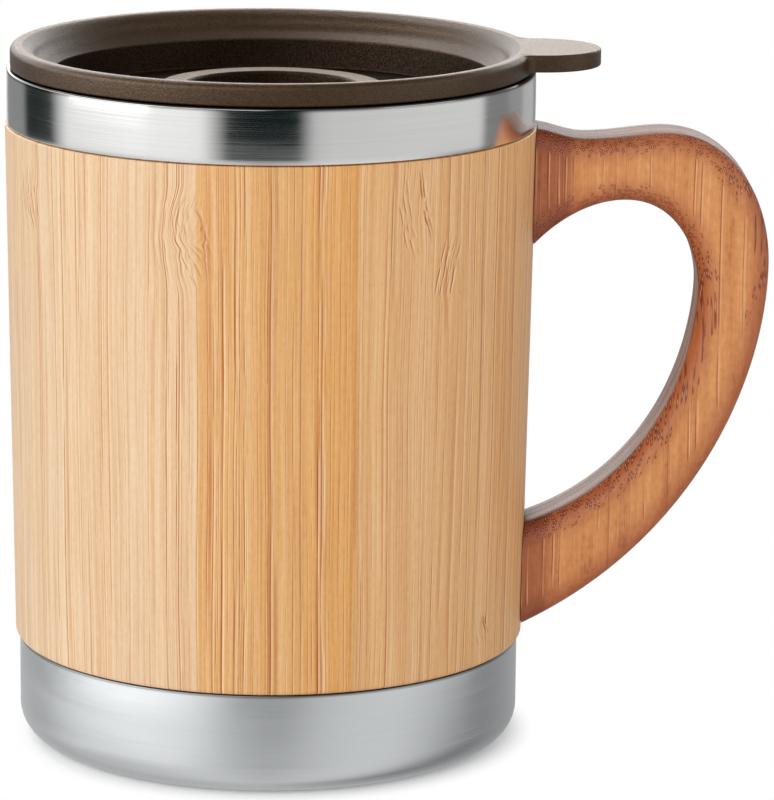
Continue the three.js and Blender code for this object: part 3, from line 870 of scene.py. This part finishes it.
def dark_bamboo():
    """A board of carbonised bamboo with upright fibres. Where it is cut across them, on the rounded edges,
    each fibre bundle is a dark ring with a pale middle. The flat faces show slivers, dark on one side and
    pale on the other. The edges are darker and redder, and the sawn strips along them are dark brown with
    fine lines, and glossier."""
    material, finish, sockets = new_finish("dark_bamboo", Specular_IOR_Level=0.6)
    place = finish.object_place()
    x, y, z = finish.split(place)
    _, ny, _ = finish.split(finish.object_normal())
    flank = finish.calc("ABSOLUTE", ny)
    from_edge = finish.add("Attribute", {}, "Fac", attribute_name="from_edge")
    from_edge = finish.times(from_edge, 1 / MM)

    drift = finish.noise(place, (0.05, 0.05, 0.03))
    bundle_x = finish.plus(x, finish.times(drift, 1.5))
    bundle_y = finish.calc("MINIMUM", from_edge, CROWN_WIDTH)
    bundle_y = finish.plus(bundle_y, finish.times(z, FIBRE_LEAN))
    cell = {"Vector": finish.gather(bundle_x, bundle_y, 0.0), "Scale": 1 / FIBRE_PITCH}
    core_distance = finish.add("TexVoronoi", cell, "Distance", voronoi_dimensions="2D")
    cell_tone = finish.split(finish.add("TexVoronoi", cell, "Color", voronoi_dimensions="2D"))[0]
    cluster = finish.spread(finish.noise(place, (0.3, 0.3, 0.3)), 0.3, 0.7, -0.25, 0.35)
    shown = finish.minus(cell_tone, finish.spread(from_edge, 0.4, CROWN_WIDTH, 0.0, 1.0))
    shown = finish.spread(finish.plus(shown, cluster), 0.0, 0.2)
    shown = finish.times(shown, finish.spread(from_edge, 0.75 * CROWN_WIDTH, CROWN_WIDTH, 1, 0))
    past_root = finish.minus(x, ARM_START)
    rise = finish.plus(finish.times(past_root, ARM_CURVE), ARM_SLOPE)
    arm_middle = finish.times(past_root, rise)
    above_arm = finish.minus(z, finish.plus(arm_middle, ARM_HEIGHT))
    shown = finish.times(shown, finish.spread(above_arm, -3, 1))
    off_ring = finish.calc("ABSOLUTE", finish.minus(core_distance, BUNDLE_RING))
    ring = finish.spread(off_ring, 0.04, 0.20, 1, 0)
    dot = finish.times(ring, shown)
    core = finish.times(finish.spread(core_distance, 0.06, 0.18, 1, 0), shown)

    fibres = finish.gather(bundle_x, y, z)
    streak = finish.noise(fibres, (0.5, 0.5, 0.02), 4.0, 0.6)
    fine = finish.noise(fibres, (4, 4, 0.08), 2.0, 0.6)
    mottle = finish.noise(place, (1.5, 1.5, 0.8), 3.0, 0.6)
    tone = finish.weighed((streak, 0.45), (fine, 0.25), (mottle, 0.30))
    colour = finish.tones(tone, BOARD_TONES)
    end_face = finish.spread(z, *END_BLOCK_HEIGHTS, END_BLOCK_LOWER, END_BLOCK_UPPER)
    past_end = finish.minus(x, end_face)
    end_block = finish.spread(past_end, -1.8, 0.5, 1, 0)
    near_end = finish.spread(past_end, 0.2, 2.2, 1, 0)
    colour = finish.shaded(finish.times(end_block, 0.8), colour, END_SHADE)
    for seam_x in BOARD_SEAMS:
        seam = finish.calc("ABSOLUTE", finish.minus(x, seam_x))
        colour = finish.shaded(finish.spread(seam, 0.05, 0.16, 0.4, 0), colour, RUSSET)
    flat = finish.spread(from_edge, 2.4, 3.4)
    for shift, spacing, width, length, share in (
        (30.0, 1.2, 0.06, 12.0, 0.40),
        (90.0, 3.1, 0.11, 24.0, 0.95),
        (150.0, 0.9, 0.10, 30.0, near_end),
    ):
        lines = fibre_lines(finish, finish.plus(bundle_x, shift), z, spacing, width, length)
        colour = draw_lines(finish, colour, lines, finish.times(flat, share), 0.6, HONEY, RUSSET)
    colour = finish.shaded(finish.spread(from_edge, 0.0, 5.0, 0.85, 0), colour, EDGE_SHADE)
    colour = finish.shaded(finish.times(dot, 0.85), colour, BUNDLE_SHADE)
    colour = finish.blend(finish.times(core, 0.45), colour, HONEY)
    sawn = finish.spread(flank, 0.2, 0.5, 1, 0)
    saw_lines = finish.noise(place, (0.04, 0.65, 0.04), 3.0, 0.7)
    sawn_tone = finish.tones(saw_lines, SAWN_TONES)
    colour = finish.blend(finish.times(sawn, 0.92), colour, sawn_tone)
    finish.join(colour, sockets["Base Color"])
    rough = finish.plus(finish.spread(fine, 0.2, 0.8, 0.34, 0.48), finish.times(sawn, -0.08))
    rough = finish.plus(rough, finish.spread(from_edge, 0.5, CROWN_WIDTH, 0.14, 0))
    finish.join(rough, sockets["Roughness"])
    scratched = finish.times(fine, finish.spread(sawn, 0, 1, 1, 3))
    finish.join(finish.bump(finish.minus(scratched, dot), 0.025 * MM, 0.5), sockets["Normal"])
    return material


# How far below a seam the painted shade on the steel reaches, in millimetres
SEAM_SHADE = 0.75


def turned_steel(name, colour, smooth, rough, streaks, seam=None):
    """Stainless steel with fine lines round the mug, left by polishing it as it turns. Just below a seam,
    given by its height, a painted shade darkens the steel where the piece that sits on it would shade it."""
    material, finish, sockets = new_finish(name, Metallic=1.0)
    place = finish.object_place()
    lines = finish.noise(place, (0.02, 0.02, 9), 3.0, 0.7)
    cloud = finish.noise(place, (0.08, 0.08, 0.4))
    steel = finish.blend(finish.spread(lines, 0.25, 0.75, streaks, 0), colour, STREAK_GREY)
    if seam is not None:
        # Painted shade: the steel is darkened just below the seam
        below = finish.minus(seam / MM, finish.split(place)[2])
        steel = finish.blend(finish.spread(below, 0.1, SEAM_SHADE, 0.9, 0), steel, PAINTED_SEAM_SHADE)
    finish.join(steel, sockets["Base Color"])
    worn = finish.plus(lines, finish.times(cloud, 0.4))
    finish.join(finish.spread(worn, 0.4, 1.0, smooth, rough), sockets["Roughness"])
    finish.join(finish.bump(lines, 0.003 * MM, 0.3), sockets["Normal"])
    return material


def brown_plastic():
    """Dark brown moulded plastic with a matt grain and faint clouding. A painted highlight makes the level
    faces that stand up paler, and a painted shade makes it darker and duller down in the well."""
    material, finish, sockets = new_finish("brown_plastic", Specular_Tint=WARM_SHEEN)
    place = finish.object_place()
    height = finish.split(place)[2]
    upward = finish.split(finish.object_normal())[2]
    grain = finish.noise(place, (2.2, 2.2, 2.2), 4.0, 0.7)
    cloud = finish.noise(place, (0.12, 0.12, 0.12), 3.0)
    colour = finish.tones(finish.weighed((grain, 0.75), (cloud, 0.25)), PLASTIC_TONES)
    well_edge = (LID_TOP - FUNNEL_DEPTH - LEDGE_FALL) / MM
    ring_top = (lid_low.z + WELL_FLOOR + RING_HEIGHT) / MM
    # Painted shade: darker colour and lower gloss down in the well
    painted_shade_in_well = finish.spread(height, well_edge - 0.5, well_edge, 1, 0)
    colour = finish.shaded(painted_shade_in_well, colour, PAINTED_WELL_SHADE)
    # Painted highlight: a paler brown in a grainy speckle, and more gloss, on the upward faces from the
    # ring's top up and along the lip's crest
    raised = finish.spread(height, ring_top - 0.4, ring_top - 0.1)
    painted_top_sheen = finish.times(finish.spread(upward, 0.95, 0.99), raised)
    painted_crest_highlight = finish.spread(height, LID_TOP / MM - 0.14, LID_TOP / MM - 0.03, 0.0, 0.5)
    painted_top_sheen = finish.calc("MAXIMUM", painted_top_sheen, painted_crest_highlight)
    fine_grain = finish.noise(place, (4.5, 4.5, 4.5), 2.0, 0.6)
    painted_speckle = finish.spread(fine_grain, 0.35, 0.65, 0.35, 1.1)
    colour = finish.blend(finish.times(painted_top_sheen, painted_speckle), colour, PAINTED_SHEEN_BROWN)
    finish.join(colour, sockets["Base Color"])
    gloss = finish.weighed((painted_shade_in_well, -0.35), (painted_top_sheen, 0.3))
    sparkle = finish.spread(fine_grain, 0.35, 0.65, 0.42, 0.72)
    finish.join(finish.plus(gloss, sparkle), sockets["Specular IOR Level"])
    finish.join(finish.spread(grain, 0.3, 0.7, 0.34, 0.46), sockets["Roughness"])
    finish.join(finish.bump(grain, 0.1 * MM, 0.9), sockets["Normal"])
    return material


def pale_silicone():
    """Milky silicone, faintly cloudy, with a soft skin."""
    material, finish, sockets = new_finish("pale_silicone", Subsurface_Weight=0.2)
    place = finish.object_place()
    cloud = finish.noise(place, (0.3, 0.3, 0.3), 3.0)
    skin = finish.noise(place, (5, 5, 5))
    finish.join(finish.blend(cloud, MILKY, MILKY_PALE), sockets["Base Color"])
    finish.join(finish.spread(skin, 0.3, 0.7, 0.45, 0.6), sockets["Roughness"])
    finish.join(finish.bump(skin, 0.005 * MM, 0.3), sockets["Normal"])
    return material


# Studio

WHITE = (1.0, 1.0, 1.0, 1.0)
# The floor's rings, in metres, and how far from the axis its shadow fades out, in millimetres
FLOOR_RINGS = (0, 0.03, 0.06, 0.12, 0.3, 1.0, 4.0)
FLOOR_COLUMNS = 96
FLOOR_WHITE = (0.95, 0.95, 0.95, 1)
SHADOW_START = 36.0
SHADOW_END = 43.5

# Lamps: name, place and side in metres, and power in watts
LAMPS = (
    ("left_softbox", (-1.25, -0.35, 0.45), 1.1, 4.5),
    ("front_softbox", (-0.5, -1.35, 0.75), 1.0, 8),
    ("top_softbox", (-0.45, 0.75, 1.1), 0.6, 6),
    ("right_fill", (1.2, -0.5, 0.5), 0.9, 3.1),
)
EVEN_LIGHT = 0.45
COOL_CAST = 0.006
# How high a mirrored ray points, from -1 to 1, where one row of bands goes over into the next
LOW_ROW = (-0.27, -0.19)
HIGH_ROW = (0.05, 0.14)
CEILING_ROW = (0.30, 0.50)
CEILING = (0.3, 0.3, 0.3, 1)
HIGH_SCALE = 6.0

# What the polished steel mirrors, level all round the studio: degrees from the front, and how bright it is
BANDS = (
    (-180, 0.9), (-170, 0.9), (-162, 0.26), (-136, 0.26), (-131, 0.02),
    (-110, 0.02), (-99, 0.86), (-60, 1.0), (-30, 0.95), (-18.5, 0.0),
    (11.5, 0.0), (18.5, 0.55), (25, 0.62), (102, 0.70), (107, 0.22), (123, 0.22),
    (126, 0.30), (139, 0.30), (142, 0.46), (159, 0.46), (162, 0.27), (168, 0.27),
    (173, 0.6), (180, 0.9),
)
# The softboxes above them, as shares of HIGH_SCALE
HIGH_BANDS = (
    (-180, 0.55), (-150, 0.55), (-128, 0.40), (-114, 0.50), (-104, 1.0),
    (-50, 1.0), (-30, 0.02), (14, 0.01), (24, 0.10), (125, 0.10), (145, 0.55),
    (180, 0.55),
)
# What the base mirrors, closer to the floor
LOW_BANDS = (
    (-180, 0.60), (-150, 0.55), (-130, 0.42), (-112, 0.62), (-91, 0.59),
    (-62, 0.70), (-37, 0.81), (-19, 0.65), (-5, 0.47), (8, 0.53), (22, 0.72),
    (41, 0.76), (66, 0.72), (89, 0.31), (110, 0.10), (127, 0.30), (150, 0.40),
    (180, 0.60),
)


def light_studio():
    """Even light all round. Mirrored in steel, the studio is three rows of upright bands of light and dark,
    one above the other, each as bright as the lists say, under a grey ceiling."""
    world = bpy.data.worlds.new("studio")
    bpy.context.scene.world = world
    world.use_nodes = True
    studio = Nodes(world.node_tree)
    way = studio.add("TexCoord", {}, "Generated")
    x, y, z = studio.split(way)
    azimuth = studio.calc("ARCTAN2", x, studio.times(y, -1.0))
    turn = studio.plus(studio.times(azimuth, 0.5 / math.pi), 0.5)

    def around(tones):
        stops = []
        for degrees, tone in tones:
            stops.append(((degrees + 180) / 360, (tone, tone + COOL_CAST, tone + COOL_CAST, 1)))
        return studio.ramp(turn, stops)

    high = studio.add("VectorMath", {0: around(HIGH_BANDS), "Scale": HIGH_SCALE}, operation="SCALE")
    high = studio.blend(studio.spread(z, *CEILING_ROW), high, CEILING)
    low = studio.blend(studio.spread(z, *LOW_ROW, 1, 0), around(BANDS), around(LOW_BANDS))
    mirrored = studio.blend(studio.spread(z, *HIGH_ROW), low, high)
    seen = studio.add("Background", {"Color": WHITE, "Strength": 1.0})
    even = studio.add("Background", {"Color": WHITE, "Strength": EVEN_LIGHT})
    mirror = studio.add("Background", {"Color": mirrored, "Strength": 1.0})
    camera_ray = studio.add("LightPath", {}, "Is Camera Ray")
    glossy_ray = studio.add("LightPath", {}, "Is Glossy Ray")
    glass_ray = studio.add("LightPath", {}, "Is Transmission Ray")
    light = studio.add("MixShader", {0: glossy_ray, 1: even, 2: mirror})
    straight_ray = studio.calc("MAXIMUM", camera_ray, glass_ray)
    light = studio.add("MixShader", {0: straight_ray, 1: light, 2: seen})
    studio.join(light, world.node_tree.nodes["World Output"].inputs["Surface"])


def add_lamp(name, place, side, power):
    """A soft square of light that faces the middle of the mug."""
    lamp = bpy.data.lights.new(name, "AREA")
    lamp.shape = "SQUARE"
    lamp.size = side
    lamp.energy = power
    holder = bpy.data.objects.new(name, lamp)
    place = Vector(place)
    facing = (Vector((0, 0, RIM_TOP / 2)) - place).to_track_quat("-Z", "Y")
    holder.matrix_world = Matrix.Translation(place) @ facing.to_matrix().to_4x4()
    bpy.context.scene.collection.objects.link(holder)


def make_floor():
    """A round white floor, as rings about the mug. It keeps the shadow at the mug's foot and goes over into
    even white away from it."""
    rings = np.array(FLOOR_RINGS)[:, None]
    turn = np.linspace(0, 2 * np.pi, FLOOR_COLUMNS, endpoint=False)
    points = np.stack([rings * np.cos(turn), rings * np.sin(turn), 0 * rings * turn], axis=-1)
    faces = grid_faces(len(rings), len(turn), False, True)[:, ::-1].tolist()
    mesh = bpy.data.meshes.new("floor")
    mesh.from_pydata(points.reshape(-1, 3), [], faces)
    floor = bpy.data.objects.new("floor", mesh)
    bpy.context.scene.collection.objects.link(floor)
    floor.visible_glossy = False
    material, finish, sockets = new_finish("white_floor", Roughness=0.9, Specular_IOR_Level=0.0)
    sockets["Base Color"].default_value = FLOOR_WHITE
    shader = material.node_tree.nodes["Principled BSDF"].outputs[0]
    distance = finish.add("VectorMath", {0: finish.object_place()}, "Value", operation="LENGTH")
    camera_ray = finish.add("LightPath", {}, "Is Camera Ray")
    share = finish.times(finish.spread(distance, SHADOW_START, SHADOW_END), camera_ray)
    glow = finish.add("Emission", {"Color": WHITE, "Strength": 1.0})
    mixed = finish.add("MixShader", {0: share, 1: shader, 2: glow})
    finish.join(mixed, material.node_tree.nodes["Material Output"].inputs["Surface"])
    mesh.materials.append(material)


def place_camera():
    """The camera stands where the photograph was taken from. It pitches down, turns to the handle's side and
    rolls by a hair."""
    pitch, yaw, roll = CAMERA_PITCH, CAMERA_YAW, CAMERA_ROLL
    look = Vector((math.sin(yaw) * math.cos(pitch), math.cos(yaw) * math.cos(pitch), -math.sin(pitch)))
    level = Vector((math.cos(yaw), -math.sin(yaw), 0))
    upright = level.cross(look)
    right = math.cos(roll) * level + math.sin(roll) * upright
    top = -math.sin(roll) * level + math.cos(roll) * upright
    camera = bpy.data.cameras.new("camera")
    camera.sensor_width = SENSOR
    camera.lens = CAMERA_FOCAL_PIXELS * SENSOR / max(IMAGE_WIDTH, IMAGE_HEIGHT)
    holder = bpy.data.objects.new("camera", camera)
    turn = Matrix((right, top, -look)).transposed().to_4x4()
    holder.matrix_world = Matrix.Translation(CAMERA_PLACE) @ turn
    bpy.context.scene.collection.objects.link(holder)
    bpy.context.scene.camera = holder


collar_steel = turned_steel("polished_steel", BRIGHT, smooth=0.08, rough=0.17, streaks=0.10, seam=RIM_TOP)
base_steel = turned_steel("satin_steel", SATIN, smooth=0.31, rough=0.42, streaks=0.08, seam=SLEEVE_BOTTOM)
liner_steel = turned_steel("liner_satin", SOFT_GREY, smooth=0.25, rough=0.38, streaks=0.25)
screw_steel = turned_steel("plain_steel", DULL_GREY, smooth=0.30, rough=0.42, streaks=0.20)

make_base(base_steel)
make_shell(collar_steel)
make_liner(liner_steel)
make_sleeve(light_bamboo())
make_handle(dark_bamboo())
make_lid(brown_plastic())
make_seal(pale_silicone())
for screw in ("handle_screw_upper", "handle_screw_lower"):
    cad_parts[screw].material_slots[0].material = screw_steel

light_studio()
for lamp in LAMPS:
    add_lamp(*lamp)
make_floor()
place_camera()
bpy.context.scene.view_settings.view_transform = "Standard"
